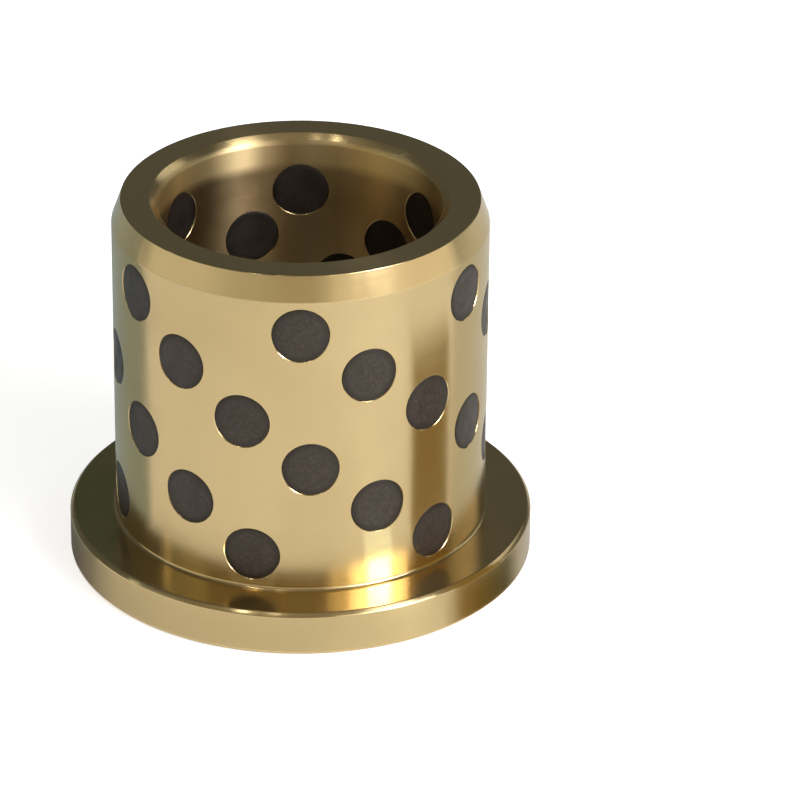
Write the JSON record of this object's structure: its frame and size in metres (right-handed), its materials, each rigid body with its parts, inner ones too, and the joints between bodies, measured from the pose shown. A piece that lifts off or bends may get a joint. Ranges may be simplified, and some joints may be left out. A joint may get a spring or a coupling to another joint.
{
  "type": "flanged bushing",
  "caption": "Flanged self-lubricating plain bushing: brass barrel with a thrust flange, its wall plugged with round graphite inserts.",
  "frame": {"origin": "centre of the bore on the flange's thrust face, which is the face that the part stands on", "axes": "+Z along the bore axis, from the thrust face towards the nose of the barrel; the first wall plug of the top row faces -Y; +X completes the right-handed frame"},
  "size_m": [0.05, 0.05, 0.0415],
  "materials": {
    "brass": "fine turned, bright",
    "graphite": "matte, pressed graphite"
  },
  "bodies": {
    "root": {"bushing": "brass", "wall_plug_r1_c1": "graphite", "wall_plug_r1_c2": "graphite", "wall_plug_r1_c3": "graphite", "wall_plug_r1_c4": "graphite", "wall_plug_r1_c5": "graphite", "wall_plug_r1_c6": "graphite", "wall_plug_r2_c1": "graphite", "wall_plug_r2_c2": "graphite", "wall_plug_r2_c3": "graphite", "wall_plug_r2_c4": "graphite", "wall_plug_r2_c5": "graphite", "wall_plug_r2_c6": "graphite", "wall_plug_r3_c1": "graphite", "wall_plug_r3_c2": "graphite", "wall_plug_r3_c3": "graphite", "wall_plug_r3_c4": "graphite", "wall_plug_r3_c5": "graphite", "wall_plug_r3_c6": "graphite", "wall_plug_r4_c1": "graphite", "wall_plug_r4_c2": "graphite", "wall_plug_r4_c3": "graphite", "wall_plug_r4_c4": "graphite", "wall_plug_r4_c5": "graphite", "wall_plug_r4_c6": "graphite", "wall_plug_r5_c1": "graphite", "wall_plug_r5_c2": "graphite", "wall_plug_r5_c3": "graphite", "wall_plug_r5_c4": "graphite", "wall_plug_r5_c5": "graphite", "wall_plug_r5_c6": "graphite", "wall_plug_r6_c1": "graphite", "wall_plug_r6_c2": "graphite", "wall_plug_r6_c3": "graphite", "wall_plug_r6_c4": "graphite", "wall_plug_r6_c5": "graphite", "wall_plug_r6_c6": "graphite", "thrust_plug_01": "graphite", "thrust_plug_02": "graphite", "thrust_plug_03": "graphite", "thrust_plug_04": "graphite", "thrust_plug_05": "graphite", "thrust_plug_06": "graphite", "thrust_plug_07": "graphite", "thrust_plug_08": "graphite"}
  },
  "joints": []
}
